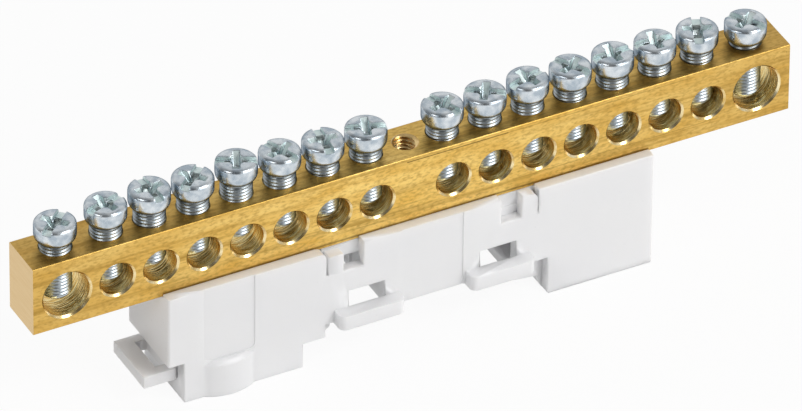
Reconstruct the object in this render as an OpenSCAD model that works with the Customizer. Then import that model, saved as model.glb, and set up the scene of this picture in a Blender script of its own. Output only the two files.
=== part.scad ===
// Brass terminal bar with sixteen clamp screws on a moulded rail holder with a sliding latch.
// Millimetres, +Z up: X runs along the bar, the holder stands with its feet on Z = 0.

/* [Bar] */
// Width of the bar, front to back
bar_w = 8; // [7:0.1:12]
// Height of the bar
bar_h = 12; // [11:0.1:16]
// Chamfer along the bar's four long edges
bar_edge = 0.2; // [0.1:0.05:0.6]
// Length of bar beyond the axis of each end hole
end_margin = 5.6; // [5:0.1:10]
// Diameter of the plain top hole at mid length that takes the fixing screw
fixing_tap_d = 4; // [3:0.1:4.5]

/* [Wire holes] */
// Number of small wire holes on each side of the middle
side_holes = 7; // [5:1:7]
// Pitch of the small wire holes
pitch = 7.2; // [7:0.1:10]
// Distance between the two small holes next to the middle
middle_pitch = 12.8; // [12:0.1:20]
// Distance from the last small hole to the end hole
end_pitch = 8.3; // [7.8:0.1:12]
// Height of the wire hole axes above the underside of the bar
wire_axis_h = 5.65; // [5:0.05:6.2]
// Bore of the small wire holes
wire_d = 5.5; // [4.5:0.1:6]
// Bore of the two end wire holes
end_wire_d = 7.7; // [6:0.1:8.5]
// Width of the chamfer round each wire hole's mouth
mouth_chamfer = 0.25; // [0.1:0.05:0.4]

/* [Terminal screws] */
// Thread diameter of the terminal screws
screw_d = 5; // [4:0.1:5.2]
// Length of the screw below its head
screw_l = 9.8; // [8.5:0.1:10]
// Diameter of the screw head
head_d = 6.5; // [6:0.1:6.8]
// Height of the screw head
head_h = 3.4; // [2.8:0.1:4]
// Rounding of the head's upper rim
head_top_r = 0.4; // [0.2:0.1:0.9]
// Rounding of the head's lower rim
head_foot_r = 1.3; // [0.5:0.1:1.6]
// Chamfer at the tip of the screw
tip_chamfer = 0.8; // [0.4:0.1:1.2]
// Radial clearance of a screw in its hole
thread_clearance = 0.08; // [0.03:0.01:0.15]
// Lead-in chamfer at the mouth of each screw hole
thread_lead = 0.25; // [0.1:0.05:0.5]

/* [Screw recess] */
// Width of the driver slot
slot_w = 1.4; // [0.8:0.1:1.6]
// Depth of the driver slot
slot_depth = 1; // [0.6:0.1:1.5]
// Span of the cross recess at the top of the head
cross_span = 4.6; // [3.6:0.1:5]
// Width of the cross recess arms
cross_w = 1.2; // [0.7:0.1:1.4]
// Depth of the cross recess
cross_depth = 1.9; // [1.2:0.1:2.1]

/* [Holder] */
// Height of the bar's underside above the feet
seat_h = 19.5; // [18:0.1:26]
// Thickness of the lip in front of the bar
front_lip = 1.85; // [1.5:0.05:3]
// Thickness of the lip behind the bar
back_lip = 3.65; // [1.5:0.05:5]
// Height of the lips above the underside of the bar
lip_h = 0.5; // [0.3:0.1:2]
// Clearance between the bar and each lip
seat_gap = 0.05; // [0.02:0.01:0.2]
// Thickness of the floor under the bar
floor_t = 2.4; // [1.6:0.1:3.5]
// Thickness of the holder's walls
wall = 1.9; // [1.4:0.1:2.2]
// Thickness of the inner ribs
rib_t = 1.5; // [1:0.1:2.5]
// Length of the left block, which houses the latch
left_block_l = 26.3; // [25.5:0.1:32]
// Length of the right block, which carries the fixed hook
right_block_l = 19.6; // [14:0.1:26]
// Overhang of the left block over the latch tab
overhang = 2.6; // [1:0.1:3]
// Height of the underside of that overhang
overhang_h = 7.3; // [6.8:0.1:9]
// Length by which the left foot stops short of the rail
foot_setback = 3.75; // [2.5:0.05:6]
// Height of the opening above the latch nose
nose_roof_h = 4.25; // [3.6:0.05:5]
// Depth of the two shallow panels in the front face
panel_depth = 0.15; // [0.1:0.05:0.6]
// Rounding of the right hand corners beside the notches
lip_corner_r = 1.1; // [0.4:0.1:1.4]
// Rounding of the upright corners at both ends of the holder
end_corner_r = 0.4; // [0.2:0.1:1.4]
// Depth of the notches in the front wall, below the bar
notch_depth = 3.8; // [3:0.1:5]
// Length of the notches in the front wall
notch_l = 6.3; // [5:0.1:8]
// Width of the slit between the right hand post and its block
right_slit = 0.2; // [0.1:0.05:0.4]
// Width of the post that stands in each notch
notch_post = 2.6; // [1.5:0.1:3]
// Length of the windows above the ledges
window_l = 6; // [3:0.1:7]
// Height of the windows above the ledges
window_h = 2.7; // [1.5:0.1:4]
// Distance of the windows from the rail's edges
window_inset = 3.4; // [2:0.1:4]
// Distance from the rail's centre to the far face of the inner ribs
rib_reach = 7.65; // [6.5:0.05:8]
// Length of the shallow panel on the left block
block_panel_l = 8.6; // [6:0.1:11]
// Rounding of that panel's lower corners
block_panel_r = 1.2; // [0.2:0.1:1.5]
// Distance of that panel from the bulge below it
block_panel_gap = 0.1; // [0.1:0.1:1]
// Length of the shallow panel between the ledges
middle_panel_l = 10.3; // [6:0.1:11]

/* [Rail seat] */
// Width of the rail over its edges
rail_w = 35; // [34:0.1:38]
// Thickness of the rail's edge
rail_t = 1; // [0.8:0.1:1.5]
// Clearance of the rail's edge under the ledges
rail_play = 0.1; // [0.05:0.05:0.3]
// Offset of the rail's centre from the middle of the bar
rail_x = 2; // [0:0.5:3]
// Clearance between each block and the rail's edge
rail_margin = 0.4; // [0.3:0.1:1]
// Height of the rail seat above the feet
rail_seat_h = 6.4; // [6.2:0.1:8]
// Length of each ledge that bears on the rail
ledge_l = 10.9; // [8:0.1:12]
// Height of the ledges
ledge_h = 2.5; // [1.4:0.1:2.8]
// Rounding of the upright corners of each ledge
ledge_corner_r = 1.1; // [0.3:0.1:1.4]
// Distance of each ledge from the rail's edge
ledge_inset = 1; // [0:0.1:2]
// Reach of the ledges beyond the walls
ledge_reach = 2.25; // [1:0.05:3]
// Overlap of the fixed hook under the rail's edge
hook_grip = 2.9; // [1.5:0.1:4]
// Thickness of the fixed hook at its tip
hook_t = 2.6; // [1.8:0.1:3]
// Distance of the right foot from the block's inner face
hook_setback = 1.65; // [1:0.05:2.5]
// Chamfer at the tip of the fixed hook
hook_lead = 0.4; // [0.2:0.1:0.8]

/* [Rail latch] */
// Thickness of the latch
latch_t = 2.1; // [1.5:0.1:2.2]
// Overlap of the latch nose under the rail's edge
nose_grip = 1.4; // [1:0.1:1.8]
// Travel that frees the rail
latch_travel = 2.3; // [2:0.1:2.4]
// Length of the tab outside the left foot
tab_l = 5.4; // [4.5:0.1:8]
// Reach of the tab in front of the latch's centre line
tab_front = 4.7; // [4:0.1:6]
// Reach of the tab behind the latch's centre line
tab_back = 5.6; // [4:0.1:6]
// Clearance between the latch and what guides it
latch_gap = 0.15; // [0.1:0.05:0.3]
// Width of the screwdriver slot in the tab
tab_slot_w = 1.9; // [1:0.1:2.5]
// Length of the screwdriver slot in the tab
tab_slot_l = 6.7; // [4:0.1:7.5]
// Distance of that slot from the front edge of the tab
tab_slot_y = 1.9; // [1:0.1:2.5]
// Thickness of the bridge between that slot and the left foot
tab_bridge = 0.7; // [0.5:0.1:1.5]
// Width of the neck between the tab and the spring ring
neck_w = 8.4; // [6:0.1:8.6]
// Height of the chamfer under the latch nose
nose_chamfer = 1.2; // [0.6:0.1:1.4]
// Length of the chamfer under the latch nose
nose_ramp = 1.5; // [0.8:0.1:2]
// Width and thickness of the strips that guide the latch
guide_t = 0.9; // [0.6:0.1:1.2]
// Reach of the spring ring beyond the inner faces of the walls
ring_swell = 0.7; // [0.3:0.05:0.8]
// Thickness of the spring ring
ring_t = 1.2; // [0.9:0.1:1.4]
// Radius of the stop post inside the spring ring
post_r = 1.4; // [1:0.1:1.5]
// Distance of the spring ring's room from the end of the left foot
bulge_inset = 7.5; // [7.2:0.1:9]
// Rise of the round bulges above the holder's faces
bulge_rise = 1.2; // [0.8:0.05:1.6]
// Thickness of the bulges' walls
bulge_wall = 1.2; // [0.9:0.1:1.4]
// Height of the bulges
bulge_h = 6.4; // [6.2:0.1:7]
// Chamfer round the top of the bulges
bulge_edge = 0.6; // [0.2:0.1:0.7]

/* [Fixing screw] */
// Length of the fixing screw below its head
fixing_l = 8; // [6:0.5:12]
// Diameter of the fixing screw's head
fixing_head_d = 7; // [6:0.1:8]
// Height of the fixing screw's head
fixing_head_h = 2.6; // [2:0.1:3]
// Rounding of the fixing screw's head
fixing_head_r = 0.8; // [0.3:0.1:1.2]
// Rounding of that head's rim where it seats
fixing_foot_r = 0.1; // [0.05:0.05:0.4]
// Radial clearance of the fixing screw in the floor
fixing_gap = 0.2; // [0.1:0.05:0.4]
// Depth of the fixing screw's cross recess
fixing_recess = 1.4; // [0.8:0.1:1.8]

/* [Hidden] */
$fn = 48;
// Overlap of a cut past the face it opens
cut = 0.1;
// Reach past every face of the part
deep = 100;

// Height of each terminal screw's head above the bar, left to right
screw_lifts = [1.3, 1.9, 2.3, 2.05, 2.65, 2.1, 1.8, 1.7, 1.8, 1.7, 1.9, 1.8, 1.8, 1.8, 1.7, 0.5];
// Angle of each terminal screw's slot, left to right
screw_turns = [41, 16, 94, 41, 154, 112, 83, 161, 112, 146, 16, 121, 2, 175, 67, 123];

// Terminals: positions along the bar
terminals = 2 * (side_holes + 1);
half_terminals = side_holes + 1;
end_x = middle_pitch / 2 + (side_holes - 1) * pitch + end_pitch;
bar_l = 2 * (end_x + end_margin);
function side_x(k) = k == side_holes ? end_x : middle_pitch / 2 + k * pitch;
function terminal_x(i) = i < half_terminals ? -side_x(half_terminals - 1 - i) : side_x(i - half_terminals);
function is_end(i) = i == 0 || i == terminals - 1;
function wire_bore(i) = is_end(i) ? end_wire_d : wire_d;
function screw_name(i) = str("terminal_screw_", i < 9 ? "0" : "", i + 1);

// Holder: depth, and the bar's place in it
holder_d = front_lip + bar_w + back_lip + 2 * seat_gap;
inner_d = holder_d - 2 * wall;
bar_y = -holder_d / 2 + front_lip + seat_gap + bar_w / 2;
bar_top = seat_h + bar_h;
lip_top = seat_h + lip_h;
floor_bottom = seat_h - floor_t;

// Holder: stations along X
rail_left = rail_x - rail_w / 2;
rail_right = rail_x + rail_w / 2;
left_in = rail_left - rail_margin;
left_out = left_in - left_block_l;
left_foot_out = left_out + overhang;
left_foot_in = left_in - foot_setback;
right_in = rail_right + rail_margin;
right_out = right_in + right_block_l;
hook_root = right_in + hook_setback;

// Rail seat: levels
web_bottom = rail_seat_h + 2 * rail_play;
hook_top = rail_seat_h - rail_t - rail_play;

// Details of the front face
left_slit = rail_margin;
notch_bottom = seat_h - notch_depth;
left_post_top = seat_h - lip_h;
right_post_top = seat_h;
ledge_top = rail_seat_h + ledge_h;
window_top = ledge_top + window_h;
block_panel_bottom = bulge_h + block_panel_gap;

// Latch: levels and stations along X
latch_top = hook_top;
latch_bottom = latch_top - latch_t;
bulge_x = left_foot_out + bulge_inset;
ring_x = bulge_x + latch_travel / 2;
ring_r = inner_d / 2 + ring_swell;
nose_end = rail_left + nose_grip;
tab_in = left_foot_out - 2 * latch_gap;
tab_out = tab_in - tab_l;
nose_w = inner_d - 4 * latch_gap;
bulge_r = holder_d / 2 + bulge_rise;
room_r = bulge_r - bulge_wall;
room_top = latch_top + 2 * latch_gap;
guide_out = ring_x + ring_r + 2 * latch_gap;

// A box between two corners
module block(low, high) {
    translate(low) cube(high - low);
}

// An outline drawn in X and Z, as deep as given and centred on Y
module across(depth) {
    rotate([90, 0, 0]) linear_extrude(depth, center = true) children();
}

// A wire hole through the bar, with a chamfer at both mouths
module wire_hole(bore) {
    mouth = bore / 2 + mouth_chamfer;
    rotate([-90, 0, 0]) {
        cylinder(d = bore, h = bar_w + 2 * cut, center = true);
        for (side = [0, 180])
            rotate([side, 0, 0])
                translate([0, 0, bar_w / 2 - mouth_chamfer])
                    cylinder(r1 = bore / 2, r2 = mouth + cut, h = mouth_chamfer + cut);
    }
}

// A screw hole from the top of the bar down to the wire hole's axis
module screw_hole() {
    hole_r = screw_d / 2 + thread_clearance;
    translate([0, 0, seat_h + wire_axis_h])
        cylinder(r = hole_r, h = bar_h - wire_axis_h + cut);
    translate([0, 0, bar_top - thread_lead])
        cylinder(r1 = hole_r, r2 = hole_r + thread_lead + cut, h = thread_lead + cut);
}

// The drawn bar, cut to length
module bar_blank() {
    half_w = bar_w / 2;
    rotate([90, 0, 90]) linear_extrude(bar_l, center = true) polygon([
        [-half_w + bar_edge, 0], [half_w - bar_edge, 0],
        [half_w, bar_edge], [half_w, bar_h - bar_edge],
        [half_w - bar_edge, bar_h], [-half_w + bar_edge, bar_h],
        [-half_w, bar_h - bar_edge], [-half_w, bar_edge]
    ]);
}

module busbar() {
    color("goldenrod") difference() {
        translate([0, bar_y, seat_h]) bar_blank();
        for (i = [0 : terminals - 1]) translate([terminal_x(i), bar_y, 0]) {
            translate([0, 0, seat_h + wire_axis_h]) wire_hole(wire_bore(i));
            screw_hole();
        }
        translate([0, bar_y, seat_h - cut])
            cylinder(d = fixing_tap_d + 2 * thread_clearance, h = bar_h + 2 * cut);
    }
}

// Half section of a round head with both rims rounded, its seat on Z = 0
module head_section(radius, height, top_r, foot_r) {
    square([radius - max(top_r, foot_r), height]);
    translate([0, foot_r]) square([radius, height - top_r - foot_r]);
    translate([radius - top_r, height - top_r]) circle(top_r);
    translate([radius - foot_r, foot_r]) circle(foot_r);
    translate([0, height - top_r]) square([radius - top_r, top_r]);
    square([radius - foot_r, foot_r]);
}

// Cross recess: a taper met by two crossing bars
module cross_recess() {
    intersection() {
        translate([0, 0, -cross_depth])
            cylinder(r1 = cross_w / 2, r2 = cross_span / 2 + cut, h = cross_depth + cut);
        union() {
            for (turn = [0, 90])
                rotate(turn) cube([cross_span, cross_w, 2 * cross_depth + cut], center = true);
        }
    }
}

// A terminal screw with the seat of its head on Z = 0
module clamp_screw() {
    difference() {
        union() {
            translate([0, 0, -screw_l])
                cylinder(d1 = screw_d - 2 * tip_chamfer, d2 = screw_d, h = tip_chamfer);
            translate([0, 0, tip_chamfer - screw_l])
                cylinder(d = screw_d, h = screw_l - tip_chamfer + head_h / 2);
            rotate_extrude() head_section(head_d / 2, head_h, head_top_r, head_foot_r);
        }
        translate([0, 0, head_h]) {
            cube([head_d + 2 * cut, slot_w, 2 * slot_depth], center = true);
            cross_recess();
        }
    }
}

module terminal_screw(i) {
    color("silver")
        translate([terminal_x(i), bar_y, bar_top + screw_lifts[i % len(screw_lifts)]])
            rotate(screw_turns[i % len(screw_turns)])
                clamp_screw();
}

// Front outline of the holder
module holder_outline() {
    polygon([
        [left_foot_out, 0], [left_foot_in, 0], [left_foot_in, nose_roof_h], [left_in, nose_roof_h],
        [left_in, web_bottom], [hook_root, web_bottom], [hook_root, 0], [right_out, 0],
        [right_out, lip_top], [left_out, lip_top], [left_out, overhang_h], [left_foot_out, overhang_h]
    ]);
}

// A hollow between the walls, open below
module hollow(from_x, to_x) {
    block([from_x, -inner_d / 2, -cut], [to_x, inner_d / 2, floor_bottom]);
}

// Area outside a rounded corner that lies right of and above the middle of its arc
module outside_corner(radius) {
    translate([-radius, -radius]) difference() {
        square(radius + cut);
        circle(radius);
    }
}

// Cuts the outside of a rounded upper right hand corner, between two depths
module lip_corner(x, top, from_y, to_y) {
    translate([x, (from_y + to_y) / 2, top]) across(to_y - from_y) outside_corner(lip_corner_r);
}

// Cuts the outside of the four upright corners at the ends of the holder
module end_corners() {
    for (back = [0, 1]) mirror([0, back, 0]) {
        translate([right_out, holder_d / 2, -cut])
            linear_extrude(deep) outside_corner(end_corner_r);
        translate([left_out, holder_d / 2, overhang_h - cut])
            linear_extrude(deep) mirror([1, 0]) outside_corner(end_corner_r);
    }
}

// A notch in the front wall, running from the block's face towards the rail's centre
module notch(x, side, slit, post_top) {
    front = -holder_d / 2;
    translate([x, 0, 0]) mirror([side < 0 ? 1 : 0, 0, 0]) {
        block([0, front - cut, notch_bottom], [slit, front + wall, lip_top + cut]);
        block([0, front - cut, post_top], [notch_l, front + wall, lip_top + cut]);
        block([slit + notch_post, front - cut, notch_bottom], [notch_l, front + wall, lip_top + cut]);
    }
}

// The shallow panel over the latch's bulge, with rounded lower corners
module block_panel() {
    half = block_panel_l / 2;
    translate([bulge_x, -holder_d / 2, 0]) across(2 * panel_depth) {
        translate([-half, block_panel_bottom + block_panel_r])
            square([block_panel_l, lip_top - block_panel_bottom]);
        translate([-half + block_panel_r, block_panel_bottom])
            square([block_panel_l - 2 * block_panel_r, block_panel_r + cut]);
        for (side = [-1, 1])
            translate([side * (half - block_panel_r), block_panel_bottom + block_panel_r])
                circle(block_panel_r);
    }
}

// The ledges that bear on the rail at both faces of the holder, their upright corners rounded
module ledge(from_x) {
    reach = holder_d / 2 + ledge_reach;
    inset = ledge_corner_r;
    translate([from_x, 0, rail_seat_h]) linear_extrude(ledge_h) {
        translate([inset, -reach]) square([ledge_l - 2 * inset, 2 * reach]);
        translate([0, inset - reach]) square([ledge_l, 2 * (reach - inset)]);
        for (x = [inset, ledge_l - inset], y = [inset - reach, reach - inset])
            translate([x, y]) circle(inset);
    }
}

// A window through both walls: behind the ledges it goes on down to the rail
module window(from_x) {
    to_x = from_x + window_l;
    block([from_x, -holder_d, ledge_top], [to_x, holder_d, window_top]);
    block([from_x, -holder_d / 2, rail_seat_h - cut], [to_x, holder_d / 2, ledge_top + cut]);
}

// The fixed hook under the rail's right edge
module fixed_hook() {
    tip = rail_right - hook_grip;
    across(inner_d + 2 * cut) polygon([
        [tip, hook_top - hook_lead], [tip + hook_lead, hook_top], [rail_right + rail_play, hook_top],
        [rail_right + rail_play, web_bottom + cut], [hook_root + wall, web_bottom + cut],
        [hook_root + wall, 0], [hook_root, 0],
        [hook_root - hook_setback / 2, hook_top - hook_t - hook_lead],
        [tip + hook_lead, hook_top - hook_t], [tip, hook_top - hook_t + hook_lead]
    ]);
}

// Strips on the walls above and below the latch, and the stop post inside its ring
module latch_guides() {
    for (level = [latch_bottom - latch_gap - guide_t, latch_top + latch_gap]) difference() {
        block([guide_out, -inner_d / 2 - cut, level], [left_foot_in, inner_d / 2 + cut, level + guide_t]);
        block([guide_out - cut, guide_t - inner_d / 2, level - cut],
              [left_foot_in + cut, inner_d / 2 - guide_t, level + guide_t + cut]);
    }
    translate([ring_x, 0, latch_bottom - guide_t])
        cylinder(r = post_r, h = floor_bottom - latch_bottom + guide_t + cut);
}

// The round bulges over the spring ring, within the left foot
module bulges() {
    shoulder = bulge_h - bulge_edge;
    intersection() {
        translate([bulge_x, 0, 0]) {
            cylinder(r = bulge_r, h = shoulder);
            translate([0, 0, shoulder]) cylinder(r1 = bulge_r, r2 = bulge_r - bulge_edge, h = bulge_edge);
        }
        block([left_foot_out, -deep, 0], [left_foot_in, deep, bulge_h]);
    }
}

// The round room that the spring ring moves in
module ring_room() {
    intersection() {
        translate([bulge_x, 0, -cut]) cylinder(r = room_r, h = room_top + cut);
        block([left_foot_out + wall, -deep, -cut], [left_foot_in, deep, room_top]);
    }
}

// Closes the back of the right notch
module notch_back() {
    block([right_in - notch_l - cut, -inner_d / 2 - cut, notch_bottom - rib_t],
          [right_in + cut, rib_t - inner_d / 2, floor_bottom + cut]);
}

// The moulding before the latch's guides and the hook are added
module holder_shell() {
    difference() {
        union() {
            across(holder_d) holder_outline();
            bulges();
        }
        block([left_out - cut, bar_y - bar_w / 2 - seat_gap, seat_h],
              [right_out + cut, bar_y + bar_w / 2 + seat_gap, deep]);
        hollow(left_foot_out + wall, left_in - wall);
        hollow(left_in, rail_x - rib_reach);
        hollow(rail_x - rib_reach + rib_t, rail_x + rib_reach - rib_t);
        hollow(rail_x + rib_reach, right_in);
        hollow(hook_root + wall, right_out - wall);
        ring_room();
        block([left_foot_out - cut, -neck_w / 2 - latch_gap, latch_bottom - latch_gap],
              [left_foot_out + wall + cut, neck_w / 2 + latch_gap, latch_top + latch_gap]);
        block([left_in - wall - cut, -inner_d / 2, -cut],
              [left_in + cut, inner_d / 2, latch_top + latch_gap]);
        notch(left_in, 1, left_slit, left_post_top);
        notch(right_in, -1, right_slit, right_post_top);
        lip_corner(left_in, lip_top, -holder_d, holder_d);
        lip_corner(right_in - right_slit, right_post_top, -holder_d, wall - holder_d / 2);
        end_corners();
        block_panel();
        block([rail_x - middle_panel_l / 2, -holder_d, -cut],
              [rail_x + middle_panel_l / 2, panel_depth - holder_d / 2, lip_top + cut]);
    }
}

module din_holder() {
    color("gainsboro") difference() {
        union() {
            holder_shell();
            difference() {
                union() {
                    ledge(rail_left + ledge_inset);
                    ledge(rail_right - ledge_inset - ledge_l);
                }
                block([left_out, -inner_d / 2, 0], [right_out, inner_d / 2, lip_top]);
            }
            notch_back();
            fixed_hook();
            latch_guides();
        }
        window(rail_left + window_inset);
        window(rail_right - window_inset - window_l);
        translate([0, bar_y, floor_bottom - cut])
            cylinder(d = fixing_tap_d + 2 * fixing_gap, h = floor_t + 2 * cut);
    }
}

// Side outline of the latch nose, its lower tip chamfered to ride over the rail's edge
module nose_outline() {
    polygon([
        [ring_x + ring_r - ring_t, latch_bottom], [nose_end - nose_ramp, latch_bottom],
        [nose_end, latch_bottom + nose_chamfer], [nose_end, latch_top],
        [ring_x + ring_r - ring_t, latch_top]
    ]);
}

module rail_latch() {
    slot_x = tab_in - tab_bridge - tab_slot_w;
    slot_y = tab_slot_y - tab_front;
    color("lightgray") difference() {
        union() {
            block([tab_out, -tab_front, latch_bottom], [tab_in, tab_back, latch_top]);
            block([tab_in - cut, -neck_w / 2, latch_bottom],
                  [ring_x - ring_r + ring_t, neck_w / 2, latch_top]);
            translate([ring_x, 0, latch_bottom]) cylinder(r = ring_r, h = latch_t);
            across(nose_w) nose_outline();
        }
        translate([ring_x, 0, latch_bottom - cut]) cylinder(r = ring_r - ring_t, h = latch_t + 2 * cut);
        block([slot_x, slot_y, latch_bottom - cut],
              [slot_x + tab_slot_w, slot_y + tab_slot_l, latch_top + cut]);
    }
}

module bar_fixing_screw() {
    recess_l = fixing_head_d / 2;
    recess_w = fixing_head_d / 7;
    color("silver") translate([0, bar_y, floor_bottom]) difference() {
        union() {
            cylinder(d = fixing_tap_d, h = fixing_l);
            mirror([0, 0, 1])
                rotate_extrude()
                    head_section(fixing_head_d / 2, fixing_head_h, fixing_head_r, fixing_foot_r);
        }
        translate([0, 0, -fixing_head_h]) for (turn = [0, 90])
            rotate(turn) cube([recess_l, recess_w, 2 * fixing_recess], center = true);
    }
}

busbar();
din_holder();
rail_latch();
bar_fixing_screw();
for (i = [0 : terminals - 1])
    terminal_screw(i);
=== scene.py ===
import math

import bmesh
import bpy
from mathutils import Matrix, Vector
from mathutils.bvhtree import BVHTree


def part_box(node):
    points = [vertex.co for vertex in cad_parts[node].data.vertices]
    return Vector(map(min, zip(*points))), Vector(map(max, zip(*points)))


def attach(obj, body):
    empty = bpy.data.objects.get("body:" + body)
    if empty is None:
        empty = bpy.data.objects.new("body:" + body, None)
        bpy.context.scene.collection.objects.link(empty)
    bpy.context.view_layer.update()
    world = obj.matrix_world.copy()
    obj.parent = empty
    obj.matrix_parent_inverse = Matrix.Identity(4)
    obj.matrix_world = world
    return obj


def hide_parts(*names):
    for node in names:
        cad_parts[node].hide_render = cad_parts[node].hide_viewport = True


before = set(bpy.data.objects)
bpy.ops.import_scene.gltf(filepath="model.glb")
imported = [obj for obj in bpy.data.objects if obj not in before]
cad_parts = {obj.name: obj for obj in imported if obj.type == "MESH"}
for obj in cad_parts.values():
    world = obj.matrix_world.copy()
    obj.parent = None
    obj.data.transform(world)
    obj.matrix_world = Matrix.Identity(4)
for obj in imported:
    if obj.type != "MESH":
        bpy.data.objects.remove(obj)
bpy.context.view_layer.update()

# Rail holder
# One light grey polyamide moulding: a channel for the bar on two hollow blocks, with ledges that bear on a
# top-hat rail and a hook that goes under its edge. The mould leaves its edges slightly round, its skin satin.
MM = 0.001
HOLDER_EDGE = 0.25 * MM
EDGE_STEPS = 3  # faces across a rounded edge
SHARP = math.radians(25)
COPLANAR = math.radians(1)
WELD = 0.002 * MM
STEP_SHARE = 0.4  # most of a narrow step that the rounding beside it takes
FOLDED_COSINE = -0.2  # a face turned this far from the moulding's skin has folded over
STRAY_SHARE = 1.2  # and so has one that lies this many roundings away from it


def rounded_copy(node, name, edge):
    """A piece in the form of a CAD node with its outer edges rounded, less beside a narrow step, and left as
    they are where the rounding would fold over itself."""
    form = bmesh.new()
    form.from_mesh(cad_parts[node].data)
    bmesh.ops.remove_doubles(form, verts=form.verts, dist=WELD)
    skin = BVHTree.FromBMesh(form)
    bmesh.ops.dissolve_limit(form, angle_limit=COPLANAR, verts=form.verts, edges=form.edges)
    bmesh.ops.connect_verts_concave(form, faces=form.faces)
    weight = form.edges.layers.float.new("bevel_weight_edge")
    for line in form.edges:
        if not line.is_convex or line.calc_face_angle() < SHARP:
            continue
        along = (line.verts[1].co - line.verts[0].co).normalized()
        beside = [
            other.calc_length() for end in line.verts for other in end.link_edges
            if other.calc_face_angle() > COPLANAR
            and abs((other.verts[1].co - other.verts[0].co).normalized().dot(along)) < math.cos(SHARP)
        ]
        line[weight] = min([1] + [STEP_SHARE * length / edge for length in beside])
    for face in form.faces:
        face.smooth = True
    mesh = bpy.data.meshes.new(name)
    piece = bpy.data.objects.new(name, mesh)
    bpy.context.scene.collection.objects.link(piece)
    rounding = piece.modifiers.new("rounded edges", "BEVEL")
    rounding.width = edge
    rounding.segments = EDGE_STEPS
    rounding.limit_method = "WEIGHT"
    rounding.use_clamp_overlap = False
    folds = True
    while folds:
        form.to_mesh(mesh)
        mesh.update()
        rounded = bmesh.new()
        rounded.from_mesh(piece.evaluated_get(bpy.context.evaluated_depsgraph_get()).to_mesh())
        bmesh.ops.triangulate(rounded, faces=rounded.faces)
        folds = []
        for face in rounded.faces:
            _, normal, _, away = skin.find_nearest(face.calc_center_median())
            folded = normal.dot(face.normal) < FOLDED_COSINE or away > STRAY_SHARE * edge
            if folded and face.calc_area() > WELD * edge:
                folds += [corner.co.copy() for corner in face.verts]
        rounded.free()
        for line in form.edges:
            a, b = (end.co for end in line.verts)
            for corner in folds if line[weight] else ():
                share = min(1, max(0, (corner - a).dot(b - a) / (b - a).length_squared))
                if (a.lerp(b, share) - corner).length < edge:
                    line[weight] = 0
                    break
    for line in form.edges:
        line.smooth = line[weight] > 0 or line.calc_face_angle() < SHARP
    form.to_mesh(mesh)
    form.free()
    piece.modifiers.new("flat faces stay flat", "WEIGHTED_NORMAL").keep_sharp = True
    return piece


def linear(colour):
    """Linear RGBA of an sRGB hex colour."""
    parts = [int(colour[i:i + 2], 16) / 255 for i in (1, 3, 5)]
    return [c / 12.92 if c <= 0.04045 else ((c + 0.055) / 1.055) ** 2.4 for c in parts] + [1]


def add(tree, kind, sockets=None, **settings):
    """Adds a shader node: settings are its properties, sockets its inputs, each a value or the output linked
    to it."""
    made = tree.nodes.new("ShaderNode" + kind)
    for name, value in settings.items():
        setattr(made, name, value)
    for name, value in (sockets or {}).items():
        if isinstance(value, bpy.types.NodeSocket):
            tree.links.new(value, made.inputs[name])
        else:
            made.inputs[name].default_value = value
    return made


def new_material(name):
    """A material with an empty node tree, and that tree."""
    made = bpy.data.materials.new(name)
    made.use_nodes = True
    made.node_tree.nodes.clear()
    return made, made.node_tree


def moulded_polyamide(name, light, dark):
    """Polyamide as moulded: a satin skin with a fine grain from the tool and a faint cloud from the flow.
    Light sinks in a little and softens its shadows. The grain is drawn coarser than real, so that it shows."""
    made, tree = new_material(name)
    grain_size, grain_depth, cloud_size, light_depth = 0.3 * MM, 0.02 * MM, 9 * MM, 1.2 * MM
    place = add(tree, "TexCoord").outputs["Object"]
    cloud = add(tree, "TexNoise", {"Vector": place, "Scale": 1 / cloud_size, "Detail": 2}).outputs["Fac"]
    grain = add(tree, "TexNoise", {"Vector": place, "Scale": 1 / grain_size, "Detail": 3}).outputs["Fac"]
    tone = add(tree, "MixRGB", {"Fac": cloud, "Color1": linear(light), "Color2": linear(dark)})
    gloss = add(tree, "MapRange", {"Value": grain, "To Min": 0.24, "To Max": 0.36}).outputs["Result"]
    skin = add(tree, "Bump", {"Height": grain, "Strength": 0.08, "Distance": grain_depth}).outputs["Normal"]
    shader = add(tree, "BsdfPrincipled", {
        "Base Color": tone.outputs["Color"], "Roughness": gloss, "Normal": skin, "IOR": 1.53,
        "Subsurface Weight": 0.8, "Subsurface Radius": (1, 1, 1), "Subsurface Scale": light_depth,
    })
    add(tree, "OutputMaterial", {"Surface": shader.outputs["BSDF"]})
    return made


holder = rounded_copy("din_holder", "rail_holder", HOLDER_EDGE)
holder.data.materials.append(moulded_polyamide("moulded polyamide, light grey", "#F0F0F0", "#EBEBED"))
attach(holder, "carrier")
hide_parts("din_holder")

# Rail latch
# A flat polyamide slide in the left block: a tab with a slot for a screwdriver, a ring that bends as a
# spring, and a nose under the rail's edge. It is moulded in the same grey and snapped in from below.
LATCH_EDGE = 0.15 * MM

latch = rounded_copy("rail_latch", "sliding_latch", LATCH_EDGE)
latch.data.materials.append(moulded_polyamide("moulded polyamide, grey", "#EAEAEA", "#E4E4E6"))
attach(latch, "latch")
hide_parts("rail_latch")

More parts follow.
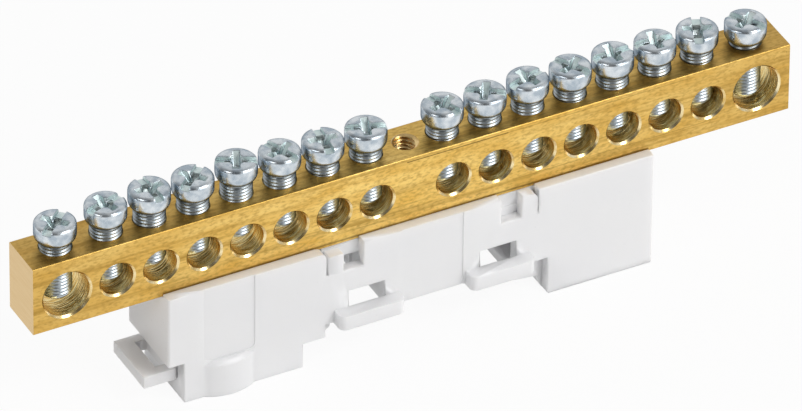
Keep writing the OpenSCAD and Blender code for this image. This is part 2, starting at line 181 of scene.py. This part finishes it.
# Brass bar
# Drawn brass of 8 by 12 mm, sawn to length, cross-drilled for the wires and tapped from above for the screws.
# The wire holes are deburred with a countersink, and the hole at mid length is tapped for the fixing screw.
SCREW_NODES = sorted(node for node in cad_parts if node.startswith("terminal_screw"))
SCREW_AXES = [(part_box(node)[0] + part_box(node)[1]) / 2 for node in SCREW_NODES]
BAR_LOW, BAR_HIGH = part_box("busbar")
BAR_MID = (BAR_LOW + BAR_HIGH) / 2
BAR_SIZE = BAR_HIGH - BAR_LOW
BAR_EDGE, BAR_EDGE_STEPS = 0.18 * MM, 3
BAR_SHARP = math.radians(35)
WIRE_AXIS = BAR_LOW.z + 5.65 * MM
WIRE_R, END_WIRE_R, WIRE_SIDES = 2.73 * MM, 3.83 * MM, 72
MOUTH = 0.3 * MM
SCREW_HOLE_R, SCREW_HOLE_LEAD, SCREW_HOLE_SIDES = 2.54 * MM, 0.08 * MM, 64
FIXING_PITCH = 0.7 * MM
FIXING_HOLE_R, FIXING_HOLE_CUT, FIXING_HOLE_LEAD = 2.05 * MM, 0.38 * MM, 0.25 * MM
FIXING_HOLE_ROWS, FIXING_HOLE_SIDES = 180, 40
PAST = 0.5 * MM  # how far a cutter reaches past the face that it opens
DRAWN, SAWN, DRILLED, DEBURRED, TAPPED = range(5)


def groove(turns):
    """Depth of a rolled screw thread from 0 at the crest to 1 at the root, by the turns along its helix."""
    return 0.5 - 0.5 * math.cos(2 * math.pi * turns)


def turned(form, profile, place, sides, pitch=1):
    """Adds to a bmesh a closed solid turned about Z. Each point of its profile is a radius, a height, the
    depth of a thread there and the material number of the wall that follows; the first and last points lie on
    the axis."""
    rings = []
    for radius, height, cut, _ in profile[1:-1]:
        ring = []
        for k in range(sides):
            share = k / sides
            angle = 2 * math.pi * share
            r = radius - cut * groove(height / pitch - share)
            ring.append(form.verts.new(place @ Vector((r * math.cos(angle), r * math.sin(angle), height))))
        rings.append(ring)
    walls = []
    first_end = (profile[0][1], rings[0], profile[0][3])
    last_end = (profile[-1][1], rings[-1], profile[-2][3])
    for height, ring, number in (first_end, last_end):
        centre = form.verts.new(place @ Vector((0, 0, height)))
        for k in range(sides):
            walls.append((form.faces.new((centre, ring[k - 1], ring[k])), number))
    for low, high, point in zip(rings, rings[1:], profile[1:]):
        for k in range(sides):
            walls.append((form.faces.new((low[k - 1], low[k], high[k], high[k - 1])), point[3]))
    for wall, number in walls:
        wall.material_index = number
        wall.smooth = True


def as_piece(form, name, materials):
    """An object from a bmesh, with its faces turned outwards."""
    bmesh.ops.recalc_face_normals(form, faces=form.faces)
    mesh = bpy.data.meshes.new(name)
    form.to_mesh(mesh)
    form.free()
    for material in materials:
        mesh.materials.append(material)
    piece = bpy.data.objects.new(name, mesh)
    bpy.context.scene.collection.objects.link(piece)
    return piece


def cut_away(piece, *cutters):
    """Takes the cutters' solids out of a piece: the new walls keep the cutters' material numbers."""
    for cutter in cutters:
        cut = piece.modifiers.new("cut", "BOOLEAN")
        cut.object = cutter
        cut.use_self = True
    shaped = bpy.data.meshes.new_from_object(piece.evaluated_get(bpy.context.evaluated_depsgraph_get()))
    piece.modifiers.clear()
    piece.data = shaped
    for cutter in cutters:
        bpy.data.objects.remove(cutter)


def drawn_brass():
    """Brass from the drawing die: a fine mottle and soft stains drawn out along the bar, darker towards its
    ends, with painted shade darkening its top faces, a few small dark pits, long scratches on its sides and a
    thin painted shadow where it meets the holder. The mottle and the die's lines are drawn coarser than real,
    so that they show."""
    made, tree = new_material("drawn brass")
    coordinates = add(tree, "TexCoord")
    place = coordinates.outputs["Object"]
    where = add(tree, "SeparateXYZ", {"Vector": place})
    facing = add(tree, "SeparateXYZ", {"Vector": coordinates.outputs["Normal"]}).outputs["Z"]
    patterns = (
        ("mottle", 0.8 * MM, 0.4 * MM, 4), ("lines", 14 * MM, 0.25 * MM, 3), ("stains", 7 * MM, 1.8 * MM, 4),
        ("streaks", 30 * MM, 0.9 * MM, 3), ("dots", 0.5 * MM, 0.25 * MM, 1), ("patches", 14 * MM, 14 * MM, 2),
    )
    noise = {}
    for pattern, length, width, detail in patterns:
        drawn_out = add(tree, "VectorMath", {0: place, 1: (1 / length, 1 / width, 1 / width)},
                        operation="MULTIPLY").outputs["Vector"]
        texture = add(tree, "TexNoise", {"Vector": drawn_out, "Scale": 1, "Detail": detail})
        noise[pattern] = texture.outputs["Fac"]
    outwards = add(tree, "Math", {0: where.outputs["X"]}, operation="ABSOLUTE").outputs["Value"]
    pitted = add(tree, "Math", {0: noise["dots"], 1: noise["patches"]}, operation="ADD").outputs["Value"]
    soft = add(tree, "MapRange", {"Value": noise["stains"], "From Min": 0.3, "From Max": 0.7})
    # Darker towards both ends of the bar.
    darker_towards_ends = add(tree, "MapRange", {"Value": outwards, "From Max": BAR_HIGH.x, "To Max": 0.5})
    dull = add(tree, "MapRange", {"Value": noise["streaks"], "From Min": 0.5, "From Max": 0.7, "To Max": 0.7})
    speck = add(tree, "MapRange", {"Value": noise["mottle"], "From Min": 0.45, "From Max": 0.7,
                                   "To Max": 0.6})
    # Painted shade: the top faces are darkened in the colour itself.
    upper = add(tree, "MapRange", {"Value": facing, "From Min": 0.5, "From Max": 0.9, "To Max": 0.18})
    pits = add(tree, "MapRange", {"Value": pitted, "From Min": 1.37, "From Max": 1.47, "To Max": 0.6})
    colour = add(tree, "MixRGB", {"Fac": soft.outputs["Result"], "Color1": linear("#E8BC5E"),
                                  "Color2": linear("#FFDC84")})
    layers = ((darker_towards_ends, "#C39648"), (dull, "#A98338"), (speck, "#A8843E"), (upper, "#6E5220"), (pits, "#5E4420"))
    for share, tone in layers:
        colour = add(tree, "MixRGB", {"Fac": share.outputs["Result"], "Color1": colour.outputs["Color"],
                                      "Color2": linear(tone)})
    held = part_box("din_holder")
    marks = {
        "scratch under the top edge": (11.3 * MM, 0.14 * MM, -1.5 * MM, 15.5 * MM, 0.9),
        "its faint end": (11.3 * MM, 0.12 * MM, 15.5 * MM, 46 * MM, 0.4),
        "low scratch": (2.3 * MM, 0.07 * MM, 16.5 * MM, 51.5 * MM, 0.5),
        # Painted shadow: a thin dark band on the bar's front just above the holder's lip, where the two meet.
        "grime above the holder": (0.55 * MM, 0.3 * MM, held[0].x, held[1].x, 0.7),
    }
    for above, half_width, start, stop, depth in marks.values():
        off = add(tree, "Math", {0: where.outputs["Z"], 1: BAR_LOW.z + above}, operation="SUBTRACT")
        away = add(tree, "Math", {0: off.outputs["Value"]}, operation="ABSOLUTE").outputs["Value"]
        level = add(tree, "MapRange", {"Value": away, "From Max": half_width, "To Min": depth, "To Max": 0})
        span = add(tree, "Math", {0: where.outputs["X"], 1: (start + stop) / 2, 2: (stop - start) / 2},
                   operation="COMPARE")
        share = add(tree, "Math", {0: level.outputs["Result"], 1: span.outputs["Value"]},
                    operation="MULTIPLY")
        colour = add(tree, "MixRGB", {"Fac": share.outputs["Value"], "Color1": colour.outputs["Color"],
                                      "Color2": linear("#4E3714")})
    gloss = add(tree, "MapRange", {"Value": noise["lines"], "To Min": 0.32, "To Max": 0.48}).outputs["Result"]
    height = add(tree, "Math", {0: noise["lines"], 1: pits.outputs["Result"]}, operation="SUBTRACT")
    relief = add(tree, "Bump", {"Height": height.outputs["Value"], "Strength": 0.2, "Distance": 0.02 * MM})
    shader = add(tree, "BsdfPrincipled", {"Base Color": colour.outputs["Color"], "Metallic": 1,
                                          "Roughness": gloss, "Normal": relief.outputs["Normal"]})
    add(tree, "OutputMaterial", {"Surface": shader.outputs["BSDF"]})
    return made


def machined_brass(name, light, dark, mark_size, roughness, relief_depth):
    """Brass straight from a cutting tool: fresh and paler than the drawn skin, with marks along the tool's
    path that are drawn coarser than real, so that they show."""
    made, tree = new_material(name)
    place = add(tree, "TexCoord").outputs["Object"]
    along = add(tree, "VectorMath", {0: place, 1: [1 / size for size in mark_size]},
                operation="MULTIPLY").outputs["Vector"]
    marks = add(tree, "TexNoise", {"Vector": along, "Scale": 1, "Detail": 2}).outputs["Fac"]
    spread = add(tree, "MapRange", {"Value": marks, "From Min": 0.35, "From Max": 0.65}).outputs["Result"]
    tone = add(tree, "MixRGB", {"Fac": spread, "Color1": linear(dark), "Color2": linear(light)})
    gloss = add(tree, "MapRange", {"Value": marks, "To Min": roughness[0], "To Max": roughness[1]})
    relief = add(tree, "Bump", {"Height": marks, "Strength": 0.5, "Distance": relief_depth}).outputs["Normal"]
    shader = add(tree, "BsdfPrincipled", {"Base Color": tone.outputs["Color"], "Metallic": 1,
                                          "Roughness": gloss.outputs["Result"], "Normal": relief})
    add(tree, "OutputMaterial", {"Surface": shader.outputs["BSDF"]})
    return made


brasses = [
    drawn_brass(),
    machined_brass("sawn brass", "#E7CC9C", "#E0C28E", mark_size=(9 * MM, 6 * MM, 0.25 * MM),
                   roughness=(0.4, 0.55), relief_depth=0.01 * MM),
    machined_brass("drilled brass", "#FFEEB2", "#D9AC50", mark_size=(3 * MM, 0.24 * MM, 3 * MM),
                   roughness=(0.2, 0.3), relief_depth=0.22 * MM),
    machined_brass("deburred brass", "#FFF0C4", "#DDBA70", mark_size=(1.6 * MM, 1.6 * MM, 1.6 * MM),
                   roughness=(0.2, 0.28), relief_depth=0.02 * MM),
    machined_brass("tapped brass", "#FFE2A4", "#C89C54", mark_size=(2 * MM, 2 * MM, 0.3 * MM),
                   roughness=(0.2, 0.35), relief_depth=0.01 * MM),
]

form = bmesh.new()
section = []
for y_side, z_side, start in ((1, 1, 0), (-1, 1, 90), (-1, -1, 180), (1, -1, 270)):
    for step in range(BAR_EDGE_STEPS + 1):
        angle = math.radians(start + 90 * step / BAR_EDGE_STEPS)
        section.append((
            BAR_MID.y + y_side * (BAR_SIZE.y / 2 - BAR_EDGE) + BAR_EDGE * math.cos(angle),
            BAR_MID.z + z_side * (BAR_SIZE.z / 2 - BAR_EDGE) + BAR_EDGE * math.sin(angle),
        ))
ends = [[form.verts.new((x, y, z)) for y, z in section] for x in (BAR_LOW.x, BAR_HIGH.x)]
for end in ends:
    form.faces.new(end).material_index = SAWN
for k in range(len(section)):
    form.faces.new((ends[0][k - 1], ends[0][k], ends[1][k], ends[1][k - 1])).material_index = DRAWN
bar = as_piece(form, "brass_bar", brasses)

wire_holes, screw_holes, fixing_hole = bmesh.new(), bmesh.new(), bmesh.new()
half = BAR_SIZE.y / 2
screw_mouth = SCREW_HOLE_R + SCREW_HOLE_LEAD
for i, axis in enumerate(SCREW_AXES):
    radius = END_WIRE_R if i in (0, len(SCREW_AXES) - 1) else WIRE_R
    across = Matrix.Translation((axis.x, BAR_MID.y, WIRE_AXIS)) @ Matrix.Rotation(math.radians(90), 4, "X")
    turned(wire_holes, [
        (0, -half - PAST, 0, DRILLED), (radius + MOUTH, -half - PAST, 0, DRILLED),
        (radius + MOUTH, -half, 0, DEBURRED), (radius, -half + MOUTH, 0, DRILLED),
        (radius, half - MOUTH, 0, DEBURRED), (radius + MOUTH, half, 0, DRILLED),
        (radius + MOUTH, half + PAST, 0, DRILLED), (0, half + PAST, 0, DRILLED),
    ], across, WIRE_SIDES)
    turned(screw_holes, [
        (0, WIRE_AXIS, 0, DRILLED), (SCREW_HOLE_R, WIRE_AXIS, 0, TAPPED),
        (SCREW_HOLE_R, BAR_HIGH.z - SCREW_HOLE_LEAD, 0, DRILLED), (screw_mouth, BAR_HIGH.z, 0, DRILLED),
        (screw_mouth, BAR_HIGH.z + PAST, 0, DRILLED), (0, BAR_HIGH.z + PAST, 0, DRILLED),
    ], Matrix.Translation((axis.x, axis.y, 0)), SCREW_HOLE_SIDES)
low, high = BAR_LOW.z - PAST, BAR_HIGH.z + PAST
rows = []
for k in range(FIXING_HOLE_ROWS + 1):
    height = low + (high - low) * k / FIXING_HOLE_ROWS
    flare = max(0, height - BAR_HIGH.z + FIXING_HOLE_LEAD, BAR_LOW.z + FIXING_HOLE_LEAD - height)
    rows.append((FIXING_HOLE_R + flare, height, FIXING_HOLE_CUT, TAPPED))
turned(fixing_hole, [(0, low, 0, TAPPED)] + rows + [(0, high, 0, TAPPED)],
       Matrix.Translation((0, BAR_MID.y, 0)), FIXING_HOLE_SIDES, FIXING_PITCH)
cut_away(bar, *[as_piece(cutter, "cutter", brasses) for cutter in (wire_holes, screw_holes, fixing_hole)])
bar.data.shade_smooth()
bar.data.set_sharp_from_angle(angle=BAR_SHARP)
bar.modifiers.new("flat faces stay flat", "WEIGHTED_NORMAL").keep_sharp = True
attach(bar, "carrier")
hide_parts("busbar")

# Fixing screw
# A zinc-plated pan-head machine screw with a cross recess. It goes up through the holder's floor into the
# bar's middle thread and holds the two together; only its head shows, from below.
FIXING_LOW, FIXING_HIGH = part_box("bar_fixing_screw")
FIXING_HEAD_R, FIXING_HEAD_H = (FIXING_HIGH.x - FIXING_LOW.x) / 2, 2.6 * MM
FIXING_HEAD_EDGE, FIXING_HEAD_STEPS = 0.8 * MM, 6
FIXING_R, FIXING_CUT, FIXING_SIDES = 2 * MM, 0.4 * MM, 48
FIXING_CROSS, FIXING_CROSS_FOOT = 3.6 * MM, 1.2 * MM
FIXING_CROSS_W, FIXING_CROSS_FOOT_W, FIXING_CROSS_DEPTH = 1.1 * MM, 0.8 * MM, 1.5 * MM
ROWS_PER_TURN = 10
NECK_TURNS = 0.8  # turns over which a thread runs out into its neck
SCREW_SHARP = math.radians(40)
PLATED, RECESS, THREAD = range(3)


def arc(centre_r, centre_h, radius, start, stop, steps, number):
    """Profile points along an arc, from one angle to another in degrees."""
    angles = [math.radians(start + (stop - start) * k / steps) for k in range(steps + 1)]
    return [(centre_r + radius * math.cos(a), centre_h + radius * math.sin(a), 0, number) for a in angles]


def thread_rows(radius, low, high, cut, pitch, tip):
    """Profile points of a threaded shank that starts with a chamfered tip and ends in a plain neck."""
    count = round((high - low) / (pitch / ROWS_PER_TURN))
    rows = []
    for k in range(count + 1):
        height = low + (high - low) * k / count
        fade = min(1, (high - height) / (NECK_TURNS * pitch))
        rows.append((min(radius - cut * (1 - fade), radius - tip + height - low), height, cut * fade, THREAD))
    return rows


def taper(form, top_length, foot_length, width, foot_width, top, foot, turn, number):
    """Adds one arm of a driver recess: a block that narrows to its foot, turned about Z."""
    spin = Matrix.Rotation(turn, 4, "Z")
    rings = [
        [form.verts.new(spin @ Vector((x * length / 2, y * wide / 2, height)))
         for x, y in ((-1, -1), (1, -1), (1, 1), (-1, 1))]
        for length, wide, height in ((foot_length, foot_width, foot), (top_length, width, top))
    ]
    walls = [form.faces.new(rings[0]), form.faces.new(rings[1])]
    for k in range(len(rings[0])):
        walls.append(form.faces.new((rings[0][k - 1], rings[0][k], rings[1][k], rings[1][k - 1])))
    for wall in walls:
        wall.material_index = number


def zinc_plate(name, light, dark, roughness, dent_depth, unshaded_z, shaded_z, edge_tint):
    """Bright zinc plate on steel: bluish white, dented softly by tumbling, with a fine crystal grain that is
    drawn coarser than real, so that it shows. Its passive film tints what it mirrors at a grazing angle, and
    painted shade greys it from one height on the screw to another, as under its head and deep in its recess."""
    made, tree = new_material(name)
    place = add(tree, "TexCoord").outputs["Object"]
    stand = add(tree, "ObjectInfo").outputs["Location"]
    own = add(tree, "VectorMath", {0: place, 1: stand}, operation="ADD").outputs["Vector"]
    grain_size, grain_share, dent_size = 0.4 * MM, 0.06, 1.4 * MM
    grain = add(tree, "TexNoise", {"Vector": own, "Scale": 1 / grain_size, "Detail": 2}).outputs["Fac"]
    dents = add(tree, "TexNoise", {"Vector": own, "Scale": 1 / dent_size, "Detail": 2}).outputs["Fac"]
    spread = add(tree, "MapRange", {"Value": dents, "From Min": 0.35, "From Max": 0.65}).outputs["Result"]
    tone = add(tree, "MixRGB", {"Fac": spread, "Color1": linear(dark), "Color2": linear(light)})
    level = add(tree, "SeparateXYZ", {"Vector": place}).outputs["Z"]
    # Painted shade: the colour greys between two heights, under the head, at the top of the thread and deep in
    # the recess.
    painted_shade = add(tree, "MapRange", {"Value": level, "From Min": unshaded_z, "From Max": shaded_z, "To Max": 0.7})
    colour = add(tree, "MixRGB", {"Fac": painted_shade.outputs["Result"], "Color1": tone.outputs["Color"],
                                  "Color2": linear("#6A6E6C")})
    gloss = add(tree, "MapRange", {"Value": grain, "To Min": roughness[0], "To Max": roughness[1]})
    height = add(tree, "Math", {0: grain, 1: grain_share, 2: dents}, operation="MULTIPLY_ADD")
    relief = add(tree, "Bump", {"Height": height.outputs["Value"], "Strength": 1, "Distance": dent_depth})
    shader = add(tree, "BsdfPrincipled", {
        "Base Color": colour.outputs["Color"], "Metallic": 1, "Roughness": gloss.outputs["Result"],
        "Normal": relief.outputs["Normal"], "Specular Tint": linear(edge_tint),
    })
    add(tree, "OutputMaterial", {"Surface": shader.outputs["BSDF"]})
    return made


# Each plating takes painted shade between two heights: at the foot of the head, the top of the thread and deep
# in the recess.
zincs = [
    zinc_plate("zinc-plated steel", "#E2E8EC", "#B2BEC8", roughness=(0.22, 0.34), dent_depth=0.05 * MM,
               unshaded_z=0.8 * MM, shaded_z=0.1 * MM, edge_tint="#707A84"),
    zinc_plate("zinc-plated steel, blue in the recess", "#EAF4F3", "#D3E4E4", roughness=(0.45, 0.6),
               dent_depth=0.1 * MM, unshaded_z=2 * MM, shaded_z=0.6 * MM, edge_tint="#E0EAEA"),
    zinc_plate("zinc-plated thread", "#CBD3D8", "#AEB8BF", roughness=(0.26, 0.36), dent_depth=0.01 * MM,
               unshaded_z=-1 * MM, shaded_z=-0.2 * MM, edge_tint="#707A84"),
]

form, cross = bmesh.new(), bmesh.new()
seat = FIXING_LOW.z + FIXING_HEAD_H
profile = [(0, FIXING_LOW.z, 0, PLATED)]
profile += arc(FIXING_HEAD_R - FIXING_HEAD_EDGE, FIXING_LOW.z + FIXING_HEAD_EDGE, FIXING_HEAD_EDGE, -90, 0,
               FIXING_HEAD_STEPS, PLATED)
profile += [(FIXING_HEAD_R, seat, 0, PLATED), (FIXING_R, seat, 0, PLATED)]
shank = thread_rows(FIXING_R, 0, FIXING_HIGH.z - seat, FIXING_CUT, FIXING_PITCH, FIXING_CUT)
profile += [(radius, FIXING_HIGH.z - height, cut, number) for radius, height, cut, number in reversed(shank)]
profile += [(0, FIXING_HIGH.z, 0, PLATED)]
turned(form, profile, Matrix.Translation((0, BAR_MID.y, 0)), FIXING_SIDES, FIXING_PITCH)
for turn in (0, 90):
    taper(cross, FIXING_CROSS, FIXING_CROSS_FOOT, FIXING_CROSS_W, FIXING_CROSS_FOOT_W, FIXING_LOW.z - PAST,
          FIXING_LOW.z + FIXING_CROSS_DEPTH, math.radians(turn), RECESS)
bmesh.ops.translate(cross, verts=cross.verts, vec=(0, BAR_MID.y, 0))
fixing = as_piece(form, "fixing_screw", zincs)
cut_away(fixing, as_piece(cross, "cutter", zincs))
fixing.data.set_sharp_from_angle(angle=SCREW_SHARP)
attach(fixing, "carrier")
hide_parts("bar_fixing_screw")

# Terminal screws
# Zinc-plated steel clamp screws with a fillister head for a flat blade or a cross bit. Each stands a little
# above the bar at its own height and turn, as the assembler left it, with its tip in the wire hole.
SCREW_R, SCREW_PITCH, SCREW_CUT, SCREW_L, SCREW_SIDES = 2.5 * MM, 0.6 * MM, 0.2 * MM, 9.8 * MM, 64
TIP = 0.8 * MM
HEAD_R, HEAD_H = 3.25 * MM, 3.4 * MM
HEAD_TOP_R, HEAD_TOP_STEPS = 0.65 * MM, 5
HEAD_FOOT_R, HEAD_FOOT_START, HEAD_FOOT_STEPS = 1.3 * MM, -78, 8
SLOT_W, SLOT_DEPTH = 1.4 * MM, 0.75 * MM
CROSS, CROSS_FOOT, CROSS_W, CROSS_FOOT_W, CROSS_DEPTH = 4.6 * MM, 1.3 * MM, 1.3 * MM, 0.9 * MM, 1.9 * MM
FUNNEL, FUNNEL_FOOT = 2.5 * MM, 1 * MM
BROKEN_EDGE, BROKEN_EDGE_STEPS = 0.08 * MM, 2
SLOT_TURNS = (41, 16, 94, 41, 154, 112, 83, 161, 112, 146, 16, 121, 2, 175, 67, 123)  # degrees, left to right

form, recess = bmesh.new(), bmesh.new()
profile = [(0, -SCREW_L, 0, PLATED)]
profile += thread_rows(SCREW_R, -SCREW_L, 0, SCREW_CUT, SCREW_PITCH, TIP)
profile += arc(HEAD_R - HEAD_FOOT_R, HEAD_FOOT_R, HEAD_FOOT_R, HEAD_FOOT_START, 0, HEAD_FOOT_STEPS, PLATED)
profile += arc(HEAD_R - HEAD_TOP_R, HEAD_H - HEAD_TOP_R, HEAD_TOP_R, 0, 90, HEAD_TOP_STEPS, PLATED)
profile += [(0, HEAD_H, 0, PLATED)]
turned(form, profile, Matrix(), SCREW_SIDES, SCREW_PITCH)
top, cross_foot = HEAD_H + PAST, HEAD_H - CROSS_DEPTH
slot_l = 2 * (HEAD_R + PAST)
taper(recess, slot_l, slot_l, SLOT_W, SLOT_W, top, HEAD_H - SLOT_DEPTH, 0, RECESS)
cross_top = CROSS + (CROSS - CROSS_FOOT) / CROSS_DEPTH * PAST
for turn in (0, 90):
    taper(recess, cross_top, CROSS_FOOT, CROSS_W, CROSS_FOOT_W, top, cross_foot, math.radians(turn), RECESS)
funnel_top = FUNNEL + (FUNNEL - FUNNEL_FOOT) / CROSS_DEPTH * PAST
taper(recess, funnel_top, FUNNEL_FOOT, funnel_top, FUNNEL_FOOT, top, cross_foot, math.radians(45), RECESS)
master = as_piece(form, "clamp_screw", zincs)
cut_away(master, as_piece(recess, "cutter", zincs))
edges = bmesh.new()
edges.from_mesh(master.data)
rim = [e for e in edges.edges if e.is_manifold and e.calc_face_angle() > SCREW_SHARP
       and min(v.co.z for v in e.verts) > HEAD_FOOT_R]
bmesh.ops.bevel(edges, geom=rim, offset=BROKEN_EDGE, segments=BROKEN_EDGE_STEPS, affect="EDGES", profile=0.5)
edges.to_mesh(master.data)
edges.free()
master.data.set_sharp_from_angle(angle=SCREW_SHARP)
for node, axis, turn in zip(SCREW_NODES, SCREW_AXES, SLOT_TURNS):
    screw = bpy.data.objects.new(node.replace("terminal", "clamp"), master.data)
    bpy.context.scene.collection.objects.link(screw)
    screw.matrix_world = (Matrix.Translation((axis.x, axis.y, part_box(node)[1].z - HEAD_H))
                          @ Matrix.Rotation(math.radians(turn), 4, "Z"))
    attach(screw, node)
    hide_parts(node)
bpy.data.objects.remove(master)

# Floor and studio
# A plain white table in a pale studio, darker to the left, with a broad low softbox and a small key lamp at
# the front right and a softbox at the left. The camera stands where the photograph was taken from, far off
# with a long lens.
FLOOR_SIZE = 8
FLOOR_WHITE = 0.93  # share of plain white that the camera sees; the rest keeps the shadow
DARK_CORNER = (-0.37, -0.71, 0.6)
LIGHTS = {
    "front softbox": {"place": (0.55, -0.95, 0.34), "width": 1.1, "height": 0.45, "power": 3.7},
    "key lamp": {"place": (0.4, -0.65, 0.77), "width": 0.35, "height": 0.35, "power": 3.2},
    "left softbox": {"place": (-0.9, -0.35, 0.62), "width": 0.5, "height": 0.4, "power": 2},
}
CAMERA_TURN, CAMERA_RISE, CAMERA_ROLL = math.radians(-27.58), math.radians(36.48), math.radians(0.56)
CAMERA_AWAY, CAMERA_LENS, CAMERA_SENSOR = 1.944, 582.7, 36
LOOKED_AT = Vector((-0.38, -0.90, 19.86)) * MM

bpy.ops.mesh.primitive_plane_add(size=FLOOR_SIZE)
floor = bpy.context.object
floor.name = "floor"
made, tree = new_material("white table")
seen = add(tree, "LightPath")
straight = add(tree, "Math", {0: seen.outputs["Is Camera Ray"], 1: seen.outputs["Is Glossy Ray"]},
               operation="MAXIMUM")
through = add(tree, "Math", {0: straight.outputs["Value"], 1: seen.outputs["Is Transmission Ray"]},
              operation="MAXIMUM")
lifted = add(tree, "Math", {0: through.outputs["Value"], 1: FLOOR_WHITE}, operation="MULTIPLY")
matt = add(tree, "BsdfDiffuse", {"Color": linear("#F4F4F4")})
glow = add(tree, "Emission", {"Color": linear("#FFFFFF"), "Strength": 1})
mixed = add(tree, "MixShader", {"Fac": lifted.outputs["Value"], 1: matt.outputs["BSDF"],
                                2: glow.outputs["Emission"]})
add(tree, "OutputMaterial", {"Surface": mixed.outputs["Shader"]})
floor.data.materials.append(made)

# The room's light falls off to the left, has one dark corner at the front left for the screw heads to mirror,
# and rises on the backdrop. The camera sees plain white.
world = bpy.data.worlds.new("pale studio")
bpy.context.scene.world = world
world.use_nodes = True
tree = world.node_tree
tree.nodes.clear()
seen = add(tree, "LightPath")
direction = add(tree, "TexCoord").outputs["Generated"]
parts = add(tree, "SeparateXYZ", {"Vector": direction})
side = add(tree, "MapRange", {"Value": parts.outputs["X"], "From Min": -1, "From Max": 0.6,
                              "To Min": 0.15, "To Max": 0.68})
towards = add(tree, "VectorMath", {0: direction, 1: DARK_CORNER}, operation="DOT_PRODUCT")
corner = add(tree, "MapRange", {"Value": towards.outputs["Value"], "From Min": 0.84, "From Max": 0.97,
                                "To Min": 1, "To Max": 0.3})
upper = add(tree, "Math", {0: corner.outputs["Result"], 1: side.outputs["Result"]}, operation="MULTIPLY")
backdrop = add(tree, "MapRange", {"Value": parts.outputs["Y"], "From Min": 0.2, "From Max": 0.8,
                                  "To Max": 0.5})
level = add(tree, "Math", {0: upper.outputs["Value"], 1: backdrop.outputs["Result"]}, operation="ADD")
room = add(tree, "Background", {"Strength": level.outputs["Value"]})
white = add(tree, "Background", {"Strength": 1})
mixed = add(tree, "MixShader", {"Fac": seen.outputs["Is Camera Ray"], 1: room.outputs["Background"],
                                2: white.outputs["Background"]})
add(tree, "OutputWorld", {"Surface": mixed.outputs["Shader"]})

for name, light in LIGHTS.items():
    lamp = bpy.data.lights.new(name, "AREA")
    lamp.shape = "RECTANGLE"
    lamp.size, lamp.size_y, lamp.energy = light["width"], light["height"], light["power"]
    stand = bpy.data.objects.new(name, lamp)
    bpy.context.scene.collection.objects.link(stand)
    stand.location = light["place"]
    stand.rotation_euler = (-stand.location).to_track_quat("-Z", "Y").to_euler()

back = Vector((math.sin(CAMERA_TURN) * math.cos(CAMERA_RISE), -math.cos(CAMERA_TURN) * math.cos(CAMERA_RISE),
               math.sin(CAMERA_RISE)))
right = Vector((math.cos(CAMERA_TURN), math.sin(CAMERA_TURN), 0))
up = back.cross(right)
lens = bpy.data.cameras.new("photograph")
lens.lens, lens.sensor_width = CAMERA_LENS, CAMERA_SENSOR
camera = bpy.data.objects.new("photograph", lens)
bpy.context.scene.collection.objects.link(camera)
spin = Matrix.Rotation(CAMERA_ROLL, 3, back)
turned_axes = Matrix((spin @ right, spin @ up, back)).transposed().to_4x4()
camera.matrix_world = Matrix.Translation(LOOKED_AT + back * CAMERA_AWAY) @ turned_axes
bpy.context.scene.camera = camera
bpy.context.scene.view_settings.view_transform = "Standard"
